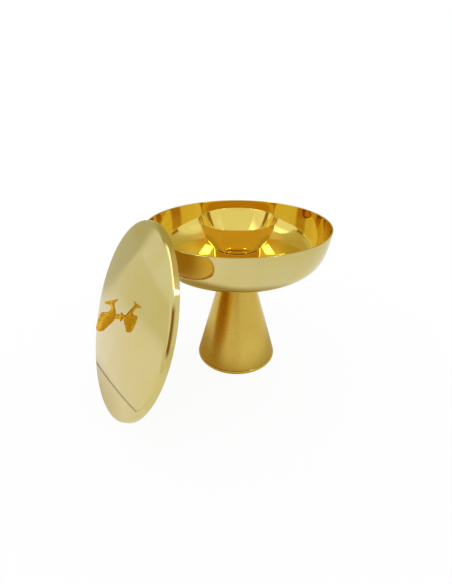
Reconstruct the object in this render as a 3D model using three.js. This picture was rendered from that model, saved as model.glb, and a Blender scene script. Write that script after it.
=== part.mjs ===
// Ciborium: a wide shallow bowl on a conical foot, with a small wine cup on a collar in the middle of the
// bowl, and a shallow domed lid with a fish for its handle. The lid stands on its edge beside the foot and
// leans on the rim of the bowl. All of it is turned or spun brass, but for the cast fish and steel fasteners.
// Millimetres, +Z up. The origin is the centre of the foot's underside, and the front is towards -Y.

import * as THREE from 'three';

// Clearance left between two pieces that touch.
const SEAT = 0.3;

// Facets round a large, a middle-sized and a small turned piece.
const FACETS = { large: 64, middle: 48, small: 24 };

// Steps along the wall of the bowl or the cup, the lid's dome, its rolled shoulder and the cup's small foot.
const STEPS = { wall: 12, dome: 6, shoulder: 4, cupFoot: 3 };

// The foot is a straight cone that stands on a turned ring. A plate let into the ring closes it underneath.
const FOOT = { baseRadius: 39.6, topRadius: 12, wall: 1.2 };
const BASE_RING = { height: 2.6, ledge: 1.6, spigot: 4, spigotWall: 1.6, chamfer: 0.4 };
const BASE_PLATE = { thickness: 1.6 };

// The bowl's side and floor are one curve. It leaves the middle level and reaches the rim nearly upright,
// and the two reaches say how far it keeps each of those directions.
const BOWL = { rimRadius: 80, rimHeight: 138.3, depth: 39.5, wall: 1.2, chamfer: 0.25 };
const BOWL_CURVE = { floorReach: 69.5, sideReach: 39.5, rimLean: 5.8 };

// What holds the foot to the bowl, all hidden inside the foot.
const BOSS = { gapToCone: 1.1, height: 3.6 };
const STUD = { radius: 4, pastNut: 7.5 };
const TOP_DISC = { thickness: 4 };
const WASHER = { radius: 9, thickness: 1.6 };
const NUT = { acrossFlats: 13, height: 6.5 };

// The collar that carries the cup, with a thicker lip at its mouth. Its height is above the bowl's floor.
const COLLAR = { radius: 20.6, height: 16.2, wall: 1, lipWall: 1.8, lipHeight: 4, chamfer: 0.4 };

// The cup: its wall runs in one curve from the flared rim to a small round foot. The leans are from upright.
const CUP = { rimRadius: 34.35, height: 25.5, footRadius: 20.8, footRound: 1.2, wall: 0.9 };
const CUP_CURVE = { rimLean: 17.5, footLean: 52, fullness: 0.33 };
const CUP_SPIGOT = { height: 4, wall: 1 };
const LIP_CLEARANCE = 0.4;

// The lid: a dome, a rolled shoulder that ends in a crease, and a skirt that flares to the mouth.
const LID = { mouthRadius: 81, creaseRadius: 80.2, skirtHeight: 3.8, domeHeight: 9, wall: 0.8 };
const SHOULDER = { radius: 6, slope: 40 };

// The lid's handle: a cast fish on a turned post, held by a washer and a nut inside the lid.
const POST = { radius: 2.1, height: 3.7 };
const POST_FLANGE = { radius: 3.6, edge: 0.5, height: 0.9 };
const POST_STUD = { radius: 1.4, pastNut: 1.1 };
const FISH = { length: 31.5, thickness: 2.4, edgeRound: 0.5, turn: 262 };
const LID_WASHER = { radius: 5, thickness: 0.8 };
const LID_NUT = { acrossFlats: 5.5, height: 2.4 };
const HOLE_CLEARANCE = 0.3;

// How the lid leans: the bearing of its outer face, counted from +X towards +Y, the angle by which that
// face looks up, and how far its middle stands to one side of that bearing.
const LEAN = { bearing: 211.6, rise: 23.7, aside: 2.4 };

// The part of the bowl's rim that can touch the lid, each way from the bearing, and the step it is tried in.
const RIM_SEARCH = { spread: 40, step: 0.5 };

const BRASS = {
  polished: { color: 0xd9c684, roughness: 0.06, metalness: 1 },
  gilded: { color: 0xd29a1e, roughness: 0.1, metalness: 1 },
  satin: { color: 0xc4a848, roughness: 0.38, metalness: 1 },
};
const STEEL = { color: 0xb9bcc0, roughness: 0.35, metalness: 1 };

const radians = THREE.MathUtils.degToRad;

function piece(name, geometry, finish) {
  const mesh = new THREE.Mesh(geometry, new THREE.MeshStandardMaterial(finish));
  mesh.name = name;
  return mesh;
}

// Turns a profile of [radius, height] points round +Z. It runs counter-clockwise, seen with +Z up.
function revolve(profile, facets) {
  const points = profile.map(([radius, height]) => new THREE.Vector2(radius, height));
  return new THREE.LatheGeometry(points, facets).rotateX(Math.PI / 2);
}

// The same for a ring, whose section closes on itself.
function revolveRing(section, facets) {
  return revolve([...section, section[0]], facets);
}

function rod(radius, bottom, top, facets) {
  return revolve([[0, bottom], [radius, bottom], [radius, top], [0, top]], facets);
}

function tube(outer, inner, bottom, top, facets) {
  return revolveRing([[outer, bottom], [outer, top], [inner, top], [inner, bottom]], facets);
}

// Moves an outline, which runs from the middle outwards and up, inwards by a distance along its normals.
function offsetInwards(outline, distance) {
  return outline.map(([radius, height], i) => {
    const before = outline[Math.max(i - 1, 0)];
    const after = outline[Math.min(i + 1, outline.length - 1)];
    const along = new THREE.Vector2(after[0] - before[0], after[1] - before[1]).normalize();
    if (radius === 0) along.set(1, 0);
    return [radius - distance * along.y, height + distance * along.x];
  });
}

function hexNut(acrossFlats, height, boreRadius) {
  const outline = new THREE.Shape();
  for (let corner = 0; corner < 6; corner += 1) {
    const angle = (corner * Math.PI) / 3;
    const reach = acrossFlats / 2 / Math.cos(Math.PI / 6);
    const move = corner === 0 ? 'moveTo' : 'lineTo';
    outline[move](reach * Math.cos(angle), reach * Math.sin(angle));
  }
  outline.holes.push(new THREE.Path().absarc(0, 0, boreRadius, 0, 2 * Math.PI, true));
  const curveSegments = FACETS.small / 2;
  return new THREE.ExtrudeGeometry(outline, { depth: height, bevelEnabled: false, curveSegments });
}

// The bowl's outside, from its middle to its rim.
function bowlCurve() {
  const { rimRadius, rimHeight, depth } = BOWL;
  const { floorReach, sideReach, rimLean } = BOWL_CURVE;
  const lean = radians(rimLean);
  return new THREE.CubicBezierCurve(
    new THREE.Vector2(0, rimHeight - depth),
    new THREE.Vector2(floorReach, rimHeight - depth),
    new THREE.Vector2(rimRadius - sideReach * Math.sin(lean), rimHeight - sideReach * Math.cos(lean)),
    new THREE.Vector2(rimRadius, rimHeight),
  );
}

const bowlOutline = () => bowlCurve().getPoints(STEPS.wall).map((point) => [point.x, point.y]);

// Height of the bowl's outside at a radius.
function bowlUnderside(radius) {
  const curve = bowlCurve();
  let low = 0;
  let high = 1;
  while (high - low > 1e-6) {
    const middle = (low + high) / 2;
    if (curve.getPoint(middle).x < radius) low = middle;
    else high = middle;
  }
  return curve.getPoint(low).y;
}

// Heights of the underside and the top of the bowl's floor on the axis.
const underBowl = BOWL.rimHeight - BOWL.depth;
const bowlFloor = underBowl + BOWL.wall;

// Radius of the cone at a height, outside and inside.
const footSlope = (FOOT.baseRadius - FOOT.topRadius) / underBowl;
const footOuter = (height) => FOOT.baseRadius - footSlope * height;
const footInner = (height) => footOuter(height) - FOOT.wall * Math.hypot(1, footSlope);

function bowl() {
  const outside = bowlOutline();
  const inside = offsetInwards(outside, BOWL.wall);
  const outerRim = outside.pop();
  const innerRim = inside.pop();
  const top = BOWL.rimHeight;
  const lip = [
    [outerRim[0], top - BOWL.chamfer],
    [outerRim[0] - BOWL.chamfer, top],
    [innerRim[0] + BOWL.chamfer, top],
    [innerRim[0], top - BOWL.chamfer],
  ];
  return revolve([...outside, ...lip, ...inside.reverse()], FACETS.large);
}

// Heights of the stack that joins the foot to the bowl, from the bowl down.
const bossTop = underBowl - SEAT;
const bossBottom = bossTop - BOSS.height;
const discTop = bossBottom - SEAT;
const discBottom = discTop - TOP_DISC.thickness;
const washerTop = discBottom - SEAT;
const nutTop = washerTop - WASHER.thickness - SEAT;
const nutBottom = nutTop - NUT.height;
const boreRadius = STUD.radius + SEAT;

function basePlate() {
  const radius = FOOT.baseRadius - BASE_RING.ledge - BASE_RING.spigotWall - SEAT;
  return rod(radius, 0, BASE_PLATE.thickness, FACETS.middle);
}

// The ring has a rebate for the plate below, a shelf for the cone's edge and a spigot inside the cone.
function baseRing() {
  const { height, ledge, spigot, spigotWall, chamfer } = BASE_RING;
  const rebate = FOOT.baseRadius - ledge - spigotWall;
  const rebateTop = BASE_PLATE.thickness + SEAT;
  const spigotTop = height + spigot;
  const bore = footInner(spigotTop) - SEAT - spigotWall;
  return revolveRing(
    [
      [rebate, 0],
      [FOOT.baseRadius - chamfer, 0],
      [footOuter(chamfer), chamfer],
      [footOuter(height), height],
      [footInner(height) - SEAT, height],
      [footInner(spigotTop) - SEAT, spigotTop],
      [bore, spigotTop],
      [bore, rebateTop],
      [rebate, rebateTop],
    ],
    FACETS.middle,
  );
}

function footCone() {
  const bottom = BASE_RING.height + SEAT;
  const top = underBowl - SEAT;
  return revolveRing(
    [
      [footOuter(bottom), bottom],
      [footOuter(top), top],
      [footInner(top), top],
      [footInner(bottom), bottom],
    ],
    FACETS.middle,
  );
}

function footTopDisc() {
  return revolveRing(
    [
      [footInner(discBottom) - SEAT, discBottom],
      [footInner(discTop) - SEAT, discTop],
      [boreRadius, discTop],
      [boreRadius, discBottom],
    ],
    FACETS.middle,
  );
}

function bowlBoss() {
  return tube(footInner(bossTop) - BOSS.gapToCone, boreRadius, bossBottom, bossTop, FACETS.small);
}

const collarTop = bowlFloor + COLLAR.height;

// A tube that stands on the bowl's floor, with its lower edge cut to the floor's curve.
function cupCollar() {
  const { radius, wall, lipWall, lipHeight, chamfer } = COLLAR;
  const inner = radius - wall;
  const lip = radius - lipWall;
  const floorAt = (r) => bowlUnderside(r) + BOWL.wall + SEAT;
  return revolveRing(
    [
      [inner, floorAt(inner)],
      [radius, floorAt(radius)],
      [radius, collarTop - chamfer],
      [radius - chamfer, collarTop],
      [lip, collarTop],
      [lip, collarTop - lipHeight],
      [inner, collarTop - lipHeight - (lipWall - wall)],
    ],
    FACETS.middle,
  );
}

const cupBottom = collarTop + SEAT;

// A direction that leans outwards from upright.
const leanDirection = (lean) => new THREE.Vector2(Math.sin(radians(lean)), Math.cos(radians(lean)));

// The cup's outside from the middle of its flat bottom, round the foot and up to the rim.
function cupOutline() {
  const { rimRadius, height, footRadius, footRound } = CUP;
  const { rimLean, footLean, fullness } = CUP_CURVE;
  const outline = [[0, cupBottom]];
  for (let i = 0; i <= STEPS.cupFoot; i += 1) {
    const turn = radians(90 - footLean) * (i / STEPS.cupFoot) - Math.PI / 2;
    outline.push([
      footRadius - footRound + footRound * Math.cos(turn),
      cupBottom + footRound + footRound * Math.sin(turn),
    ]);
  }
  const start = new THREE.Vector2(...outline.at(-1));
  const end = new THREE.Vector2(rimRadius, cupBottom + height);
  const reach = start.distanceTo(end) * fullness;
  const leaving = leanDirection(footLean);
  const arriving = leanDirection(rimLean);
  const wall = new THREE.CubicBezierCurve(
    start,
    start.clone().addScaledVector(leaving, reach),
    end.clone().addScaledVector(arriving, -reach),
    end,
  );
  const wallPoints = wall.getPoints(STEPS.wall).slice(1);
  return [...outline, ...wallPoints.map((point) => [point.x, point.y])];
}

function cup() {
  const outside = cupOutline();
  return revolve([...outside, ...offsetInwards(outside, CUP.wall).reverse()], FACETS.middle);
}

// A ring under the cup that drops into the collar's lip.
function cupSpigot() {
  const outer = COLLAR.radius - COLLAR.lipWall - LIP_CLEARANCE;
  const top = cupBottom - SEAT;
  return tube(outer, outer - CUP_SPIGOT.wall, top - CUP_SPIGOT.height, top, FACETS.middle);
}

// The lid's outside, in its own frame: its mouth at height 0, its axis along +Z. It runs from the hole in
// the middle, over the dome and the shoulder to the crease.
function lidDome() {
  const roll = SHOULDER.radius;
  const slope = radians(SHOULDER.slope);
  const rollCentre = [LID.creaseRadius - roll * Math.sin(slope), LID.skirtHeight - roll * Math.cos(slope)];
  const fall = LID.domeHeight - rollCentre[1];
  const radius = (rollCentre[0] ** 2 + fall ** 2 - roll ** 2) / (2 * (fall - roll));
  const centre = LID.domeHeight - radius;
  const join = Math.atan2(rollCentre[0], rollCentre[1] - centre);
  return { roll, slope, rollCentre, radius, centre, join };
}

const lidHole = POST_STUD.radius + HOLE_CLEARANCE;

// One face of the lid: the outer face at depth 0 and the inner one at the depth of the wall.
function lidFace(depth) {
  const { roll, slope, rollCentre, radius, centre, join } = lidDome();
  const face = [];
  const start = Math.asin(lidHole / radius);
  for (let i = 0; i <= STEPS.dome; i += 1) {
    const angle = start + (join - start) * (i / STEPS.dome);
    face.push([(radius - depth) * Math.sin(angle), centre + (radius - depth) * Math.cos(angle)]);
  }
  for (let i = 1; i <= STEPS.shoulder; i += 1) {
    const angle = join + (slope - join) * (i / STEPS.shoulder);
    const reach = roll - depth;
    face.push([rollCentre[0] + reach * Math.sin(angle), rollCentre[1] + reach * Math.cos(angle)]);
  }
  face[0][0] = lidHole;
  return face;
}

function lidShell() {
  const outside = lidFace(0);
  const inside = lidFace(LID.wall);
  const mouth = [[LID.mouthRadius - LID.wall, 0], [LID.mouthRadius, 0]];
  return revolveRing([...inside, ...mouth, ...outside.reverse()], FACETS.large);
}

// Heights on the lid's axis.
const flangeBottom = LID.domeHeight + SEAT;
const postTop = LID.domeHeight + POST.height;
const underLid = LID.domeHeight - LID.wall - SEAT;
const lidWasherBottom = underLid - LID_WASHER.thickness;
const lidNutBottom = lidWasherBottom - SEAT - LID_NUT.height;

function lidPost() {
  return revolve(
    [
      [0, lidNutBottom - POST_STUD.pastNut],
      [POST_STUD.radius, lidNutBottom - POST_STUD.pastNut],
      [POST_STUD.radius, flangeBottom],
      [POST_FLANGE.radius, flangeBottom],
      [POST_FLANGE.radius, flangeBottom + POST_FLANGE.edge],
      [POST.radius, flangeBottom + POST_FLANGE.height],
      [POST.radius, postTop],
      [0, postTop],
    ],
    FACETS.small,
  );
}

function lidWasher() {
  return tube(LID_WASHER.radius, lidHole, lidWasherBottom, underLid, FACETS.small);
}

// The fish lies along X with its head towards +X, and its belly rests at height 0 on the post. The numbers
// are shares of its length. The tail fin comes first, then the back with its fin, the head and the belly.
function fishOutline() {
  const fish = new THREE.Shape();
  const scaled = (shares) => shares.map((share) => share * FISH.length);
  const bend = (...shares) => fish.quadraticCurveTo(...scaled(shares));
  const sweep = (...shares) => fish.bezierCurveTo(...scaled(shares));
  fish.moveTo(...scaled([-0.502, 0.083]));
  bend(-0.46, 0.137, -0.437, 0.2);
  bend(-0.419, 0.273, -0.371, 0.337);
  bend(-0.373, 0.27, -0.34, 0.21);
  bend(-0.273, 0.156, -0.206, 0.143);
  bend(-0.133, 0.149, -0.092, 0.21);
  bend(-0.073, 0.263, -0.067, 0.324);
  bend(-0.06, 0.346, -0.038, 0.352);
  sweep(0.095, 0.371, 0.27, 0.368, 0.387, 0.349);
  bend(0.457, 0.34, 0.468, 0.283);
  bend(0.476, 0.21, 0.435, 0.165);
  sweep(0.337, 0.127, 0.229, 0.051, 0.105, 0);
  fish.lineTo(...scaled([-0.063, 0]));
  sweep(-0.146, 0.029, -0.254, 0.092, -0.394, 0.143);
  bend(-0.451, 0.124, -0.502, 0.083);
  return fish;
}

function fishHandle() {
  const round = FISH.edgeRound;
  const flat = FISH.thickness - 2 * round;
  const geometry = new THREE.ExtrudeGeometry(fishOutline(), {
    depth: flat,
    bevelThickness: round,
    bevelSize: round,
    bevelOffset: 0,
    bevelSegments: 2,
    curveSegments: 5,
  });
  geometry.translate(0, postTop + SEAT + round, -flat / 2);
  return geometry.rotateX(Math.PI / 2).rotateZ(radians(FISH.turn));
}

// The lid's own axes: x level, y uphill in the plane of its mouth, z the way its outer face looks.
function lidAxes() {
  const bearing = radians(LEAN.bearing);
  const rise = radians(LEAN.rise);
  const level = Math.cos(rise);
  const z = new THREE.Vector3(Math.cos(bearing) * level, Math.sin(bearing) * level, Math.sin(rise));
  const x = new THREE.Vector3(-Math.sin(bearing), Math.cos(bearing), 0);
  const y = new THREE.Vector3().crossVectors(z, x);
  return { x, y, z, bearing, rise };
}

// The lid's mouth stands on the ground, and the rim of the bowl touches its inner face. The lid
// is slid away from the bowl's axis until the nearest part of the rim is a clearance from that face.
function lidPlace() {
  const { x, y, z, bearing, rise } = lidAxes();
  const { radius, centre } = lidDome();
  const outwards = new THREE.Vector3(Math.cos(bearing), Math.sin(bearing), 0);
  const place = x.clone().multiplyScalar(LEAN.aside);
  place.z = LID.mouthRadius * Math.cos(rise);
  const inner = radius - LID.wall;
  let away = -Infinity;
  for (let turn = -RIM_SEARCH.spread; turn <= RIM_SEARCH.spread; turn += RIM_SEARCH.step) {
    const rim = new THREE.Vector3(Math.cos(bearing + radians(turn)), Math.sin(bearing + radians(turn)), 0)
      .multiplyScalar(BOWL.rimRadius)
      .setZ(BOWL.rimHeight)
      .sub(place);
    away = Math.max(away, slideToTouch(rim, outwards, z, centre, inner - SEAT));
  }
  return place.addScaledVector(outwards, away);
}

// How far the lid must slide along a direction for a point to lie on the sphere of its dome.
function slideToTouch(point, direction, axis, centre, radius) {
  const fromCentre = point.clone().addScaledVector(axis, -centre);
  const along = fromCentre.dot(direction);
  const reach = along ** 2 - fromCentre.lengthSq() + radius ** 2;
  return along - Math.sqrt(reach);
}

function buildStand() {
  const stand = new THREE.Group();
  stand.add(
    piece('base_plate', basePlate(), BRASS.satin),
    piece('foot_base_ring', baseRing(), BRASS.gilded),
    piece('foot_cone', footCone(), BRASS.satin),
    piece('foot_top_disc', footTopDisc(), BRASS.satin),
    piece('foot_stud', rod(STUD.radius, nutBottom - STUD.pastNut, bossTop - SEAT, FACETS.small), STEEL),
    piece('bowl_boss', bowlBoss(), BRASS.satin),
    piece('foot_washer', tube(WASHER.radius, boreRadius, nutTop + SEAT, washerTop, FACETS.small), STEEL),
    piece('bowl', bowl(), BRASS.polished),
    piece('cup_collar', cupCollar(), BRASS.gilded),
  );
  const nut = piece('foot_nut', hexNut(NUT.acrossFlats, NUT.height, boreRadius), STEEL);
  nut.position.z = nutBottom;
  stand.add(nut);
  return stand;
}

function buildCup() {
  const group = new THREE.Group();
  group.add(piece('cup', cup(), BRASS.gilded), piece('cup_spigot', cupSpigot(), BRASS.gilded));
  return group;
}

function buildLid() {
  const group = new THREE.Group();
  group.add(
    piece('lid_shell', lidShell(), BRASS.polished),
    piece('lid_post', lidPost(), BRASS.gilded),
    piece('fish_handle', fishHandle(), BRASS.gilded),
    piece('lid_washer', lidWasher(), BRASS.satin),
  );
  const nut = piece('lid_nut', hexNut(LID_NUT.acrossFlats, LID_NUT.height, lidHole), STEEL);
  nut.position.z = lidNutBottom;
  group.add(nut);
  const { x, y, z } = lidAxes();
  group.setRotationFromMatrix(new THREE.Matrix4().makeBasis(x, y, z));
  group.position.copy(lidPlace());
  return group;
}

const ciborium = new THREE.Group();
ciborium.add(buildStand(), buildCup(), buildLid());

export default ciborium;
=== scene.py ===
import math
from functools import partial

import bmesh
import bpy
import numpy as np
from mathutils import Matrix, Vector
from mathutils.geometry import delaunay_2d_cdt


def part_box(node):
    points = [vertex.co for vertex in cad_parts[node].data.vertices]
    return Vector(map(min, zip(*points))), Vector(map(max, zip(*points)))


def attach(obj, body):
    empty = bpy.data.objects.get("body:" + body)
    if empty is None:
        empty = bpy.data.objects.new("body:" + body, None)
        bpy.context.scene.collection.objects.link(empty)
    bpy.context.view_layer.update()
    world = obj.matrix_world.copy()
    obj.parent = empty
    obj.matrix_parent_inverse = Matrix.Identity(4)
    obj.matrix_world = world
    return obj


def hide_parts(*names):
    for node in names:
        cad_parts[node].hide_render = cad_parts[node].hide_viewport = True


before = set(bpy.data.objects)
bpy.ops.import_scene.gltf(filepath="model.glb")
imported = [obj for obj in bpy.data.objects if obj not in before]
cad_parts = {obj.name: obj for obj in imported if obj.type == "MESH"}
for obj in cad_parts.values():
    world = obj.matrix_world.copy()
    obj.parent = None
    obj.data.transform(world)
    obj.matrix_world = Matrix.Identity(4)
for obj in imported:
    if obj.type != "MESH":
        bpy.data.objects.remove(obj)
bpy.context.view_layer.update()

MM = 0.001

# Turning: facets round a large and a small piece, steps round an edge and along a curve, and in
# millimetres the longest straight step and how close together points lie that are one
FACETS, SMALL_FACETS, ONE_POINT = 240, 96, 0.004
EDGE_STEPS, CURVE_STEPS, STRAIGHT_STEP = 7, 84, 1.5

# Walls and edges in millimetres. Radii and heights that the frame knows come from the frame. The lid's
# crease is drawn 0.06 mm inside the CAD model's, so that its rounded edge stays within that model
SEAT = 0.3
BOWL_WALL, BOWL_EDGE = 1.2, 0.4
BOWL_FLOOR_REACH, BOWL_SIDE_REACH, BOWL_RIM_LEAN = 69.5, 39.5, 5.8
CUP_HEIGHT, CUP_WALL, CUP_EDGE = 25.5, 0.9, 0.4
CUP_FOOT_RADIUS, CUP_FOOT_ROUND = 20.8, 1.2
CUP_RIM_LEAN, CUP_FOOT_LEAN, CUP_FULLNESS = 17.5, 52.0, 0.33
LID_WALL, LID_EDGE, LID_CREASE_EDGE, LID_HOLE = 0.8, 0.3, 0.5, 1.7
LID_CREASE_RADIUS, LID_SKIRT, SHOULDER_RADIUS, SHOULDER_SLOPE = 80.14, 3.8, 6.0, 40.0
FOOT_WALL, FOOT_TOP_RADIUS, FOOT_EDGE = 1.2, 12.0, 0.3
RING_HEIGHT, RING_LEDGE, RING_WALL = 2.6, 1.6, 1.6
COLLAR_WALL, COLLAR_LIP, COLLAR_LIP_HEIGHT = 1.0, 1.8, 4.0
SPIGOT_WALL = 1.0

# Fastenings in millimetres
STUD_PITCH, STUD_THREAD = 1.25, 0.7
POST_RADIUS, POST_FLANGE, POST_FLANGE_EDGE, POST_FLANGE_HEIGHT = 2.1, 3.6, 0.5, 0.9
POST_STUD, POST_PITCH, POST_THREAD, POST_PLAIN = 1.4, 0.5, 0.3, 1.4
NUT_FLATS, LID_NUT_FLATS = 13.0, 5.5

# Nuts: the chamfer in degrees, and the radius of the flat ends and the edges in shares of the flats
NUT_CHAMFER, NUT_LAND, NUT_EDGE = 30, 0.475, 0.01

# The cast fish in millimetres: its length, edge round, thinnest half, and the turn of its head in the lid
FISH_LENGTH, FISH_EDGE, FISH_FIN_HALF, FISH_TURN = 31.4, 0.5, 0.8, 262.0

# How fine its mesh is in millimetres: the grid's step, rings of points at these distances outside its
# outline within the rounded edge, and how close together two points of a ring may lie
FISH_GRAIN, FISH_RINGS, FISH_CLOSEST = 0.3, (0.42, 0.3, 0.14), 0.04

# The camera that the photograph was taken with: place in millimetres, angles in degrees
CAMERA_PLACE = (0.0, -280.8, 223.6)
CAMERA_PITCH, CAMERA_YAW, CAMERA_ROLL = 28.836, -2.114, -0.212
CAMERA_LENS = 20.387


def millimetres(node):
    """The lowest and highest corner of a CAD node in millimetres."""
    low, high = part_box(node)
    return low / MM, high / MM


def radius_of(node):
    """Outer radius of a node that is turned round the upright axis."""
    low, high = millimetres(node)
    return max(high.x, high.y, -low.x, -low.y)


def lid_frame():
    """The lid's own frame: x level, y uphill, z out of the dome, its origin the middle of the mouth."""
    points = np.array([v.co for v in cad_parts["lid_shell"].data.vertices])
    middle = Vector(points.mean(axis=0))
    axis = Vector(np.linalg.eigh(np.cov(points.T))[1][:, 0])
    if axis.z < 0:
        axis.negate()
    level = Vector((-axis.y, axis.x, 0.0)).normalized()
    uphill = axis.cross(level)
    mouth = middle + axis * min((Vector(p) - middle).dot(axis) for p in points)
    place = Matrix((level, uphill, axis)).transposed().to_4x4()
    place.translation = mouth
    return place


def reach_along(node, place):
    """Lowest and highest height and largest radius of a node round a place's z axis, in millimetres."""
    back = place.inverted()
    points = [back @ v.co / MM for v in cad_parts[node].data.vertices]
    heights = [p.z for p in points]
    return min(heights), max(heights), max(math.hypot(p.x, p.y) for p in points)


# Profiles are lists of (radius, height) in millimetres


def rounded(corners, closed=False, step=STRAIGHT_STEP):
    """A profile through corners of (radius, height, rounding), with points gathered near the corners."""
    arcs = []
    for i, (radius, height, rounding) in enumerate(corners):
        here = Vector((radius, height))
        if rounding == 0 or (not closed and i in (0, len(corners) - 1)):
            arcs.append([here])
            continue
        before = (Vector(corners[i - 1][:2]) - here).normalized()
        after = (Vector(corners[(i + 1) % len(corners)][:2]) - here).normalized()
        half = before.angle(after) / 2
        centre = here + (before + after).normalized() * (rounding / math.sin(half))
        start = here + before * (rounding / math.tan(half)) - centre
        end = here + after * (rounding / math.tan(half)) - centre
        turn = start.angle_signed(end)
        turns = [Matrix.Rotation(-turn * s / EDGE_STEPS, 2) for s in range(EDGE_STEPS + 1)]
        arcs.append([centre + each @ start for each in turns])
    if closed:
        arcs.append([arcs[0][0]])
    points = []
    for i, arc in enumerate(arcs):
        points.extend(arc)
        if i + 1 < len(arcs):
            points.extend(eased(arc[-1], arcs[i + 1][0], step))
    return [tuple(p) for p in points]


def eased(start, end, step=STRAIGHT_STEP):
    """Points between two ends, close together near both."""
    steps = math.ceil((end - start).length / step) + 3
    shares = [0.5 - 0.5 * math.cos(math.pi * s / steps) for s in range(1, steps)]
    return [start.lerp(end, share) for share in shares]


def bezier(handles, share):
    """A point on a cubic curve, and the unit normal to the right of its direction."""
    a, b, c, d = (Vector(h) for h in handles)
    rest = 1 - share
    point = a * rest**3 + b * 3 * rest**2 * share + c * 3 * rest * share**2 + d * share**3
    along = (b - a) * rest**2 + (c - b) * 2 * rest * share + (d - c) * share**2
    return point, Vector((along.y, -along.x)).normalized()


def lean(angle):
    """A direction in a profile that leans outwards from upright by an angle in radians."""
    return Vector((math.sin(angle), math.cos(angle)))


def wall_on(handles, wall):
    """Outer and inner points of a wall whose outside is a cubic curve."""
    outside, inside = [], []
    for step in range(CURVE_STEPS + 1):
        point, normal = bezier(handles, step / CURVE_STEPS)
        outside.append(tuple(point))
        inside.append(tuple(point - normal * wall))
    return outside, inside


def rim_over(outside, inside, top, edge):
    """Two walls joined over a flat rim with rounded edges, and the row where the inner finish starts."""
    outer_radius, inner_radius = outside[-1][0], inside[-1][0]
    outside = [p for p in outside if p[1] < top - edge * 1.6]
    inside = [p for p in inside if p[1] < top - edge * 1.6]
    over = rounded([
        (*outside[-1], 0),
        (outer_radius, top, edge),
        (inner_radius, top, edge),
        (*inside[-1], 0),
    ])
    # The inner finish starts past the first point of the inner rounding. The rest of the rounding, three
    # points below it and the end of the inner wall follow
    first_inner_row = len(outside) - 1 + len(over) - (EDGE_STEPS + 3 + 1)
    return outside[:-1] + over + inside[-2::-1], first_inner_row


def bowl_handles():
    low, high = millimetres("bowl")
    rim = Vector((high.x, high.z))
    side = rim - lean(math.radians(BOWL_RIM_LEAN)) * BOWL_SIDE_REACH
    return [(0, low.z), (BOWL_FLOOR_REACH, low.z), tuple(side), tuple(rim)]


def bowl_profile():
    _, high = millimetres("bowl")
    return rim_over(*wall_on(bowl_handles(), BOWL_WALL), high.z, BOWL_EDGE)


def cup_profile():
    low, _ = millimetres("cup")
    rim = Vector((radius_of("cup"), low.z + CUP_HEIGHT))
    foot = Vector((CUP_FOOT_RADIUS - CUP_FOOT_ROUND, low.z + CUP_FOOT_ROUND))
    away = lean(math.radians(CUP_FOOT_LEAN))
    start = foot + CUP_FOOT_ROUND * Vector((away.y, -away.x))
    reach = (rim - start).length * CUP_FULLNESS
    handles = [start, start + away * reach, rim - lean(math.radians(CUP_RIM_LEAN)) * reach, rim]
    wall, first_inner_row = rim_over(*wall_on(handles, CUP_WALL), rim.y, CUP_EDGE)
    turn = math.radians(90 - CUP_FOOT_LEAN)
    angles = [turn * s / EDGE_STEPS - math.pi / 2 for s in range(EDGE_STEPS)]
    round_out, round_in = (
        [tuple(foot + radius * Vector((math.cos(a), math.sin(a)))) for a in angles]
        for radius in (CUP_FOOT_ROUND, CUP_FOOT_ROUND - CUP_WALL)
    )
    floor = [(0, low.z)] + [tuple(p) for p in eased(Vector((0, low.z)), Vector(round_out[0]))]
    floor_in = [(r, z + CUP_WALL) for r, z in floor]
    before = floor + round_out
    return before + wall + round_in[::-1] + floor_in[::-1], len(before) + first_inner_row


def lid_profile(crown, mouth_radius):
    """The lid's closed section, inner face first, and the row where the outer face starts."""
    slope = math.radians(SHOULDER_SLOPE)
    roll = Vector((LID_CREASE_RADIUS, LID_SKIRT)) - SHOULDER_RADIUS * lean(slope)
    fall = crown - roll.y
    dome = (roll.x**2 + fall**2 - SHOULDER_RADIUS**2) / (2 * (fall - SHOULDER_RADIUS))
    centre = Vector((0, crown - dome))
    join = math.atan2(roll.x, roll.y - centre.y)

    def face(depth):
        start = math.asin(LID_HOLE / (dome - depth))
        dome_angles = [start + (join - start) * s / CURVE_STEPS for s in range(CURVE_STEPS)]
        roll_angles = [join + (slope - join) * s / (2 * EDGE_STEPS) for s in range(2 * EDGE_STEPS)]
        on_dome = [centre + (dome - depth) * lean(a) for a in dome_angles]
        on_roll = [roll + (SHOULDER_RADIUS - depth) * lean(a) for a in roll_angles]
        return [tuple(p) for p in on_dome + on_roll]

    outer, inner = face(0), face(LID_WALL)
    crease = (LID_CREASE_RADIUS - LID_WALL * math.sin(slope), LID_SKIRT - LID_WALL * math.cos(slope))
    skirt = rounded([
        (*inner[-1], 0),
        (*crease, LID_CREASE_EDGE),
        (mouth_radius - LID_WALL, 0, LID_EDGE),
        (mouth_radius, 0, LID_EDGE),
        (LID_CREASE_RADIUS, LID_SKIRT, LID_CREASE_EDGE),
        (*outer[-1], 0),
    ])
    return inner[:-1] + skirt + outer[-2::-1] + [inner[0]], len(inner) + len(skirt) // 2


def ring_profile(outer, inner, bottom, top, edge):
    """The closed section of a plain ring with rounded edges."""
    corners = ((outer, bottom), (outer, top), (inner, top), (inner, bottom))
    return rounded([(*corner, edge) for corner in corners], closed=True)


def ring_of(node, bore, edge):
    """The section of a plain ring, with the radius and the heights of a CAD node on the upright axis."""
    low, high = millimetres(node)
    return ring_profile(high.x, bore, low.z, high.z, edge)


def disc_of(node, edge, step=STRAIGHT_STEP):
    """The section of a solid disc or rod, with the radius and the heights of a CAD node."""
    low, high = millimetres(node)
    corners = [(0, low.z, 0), (high.x, low.z, edge), (high.x, high.z, edge), (0, high.z, 0)]
    return rounded(corners, step=step)


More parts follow.
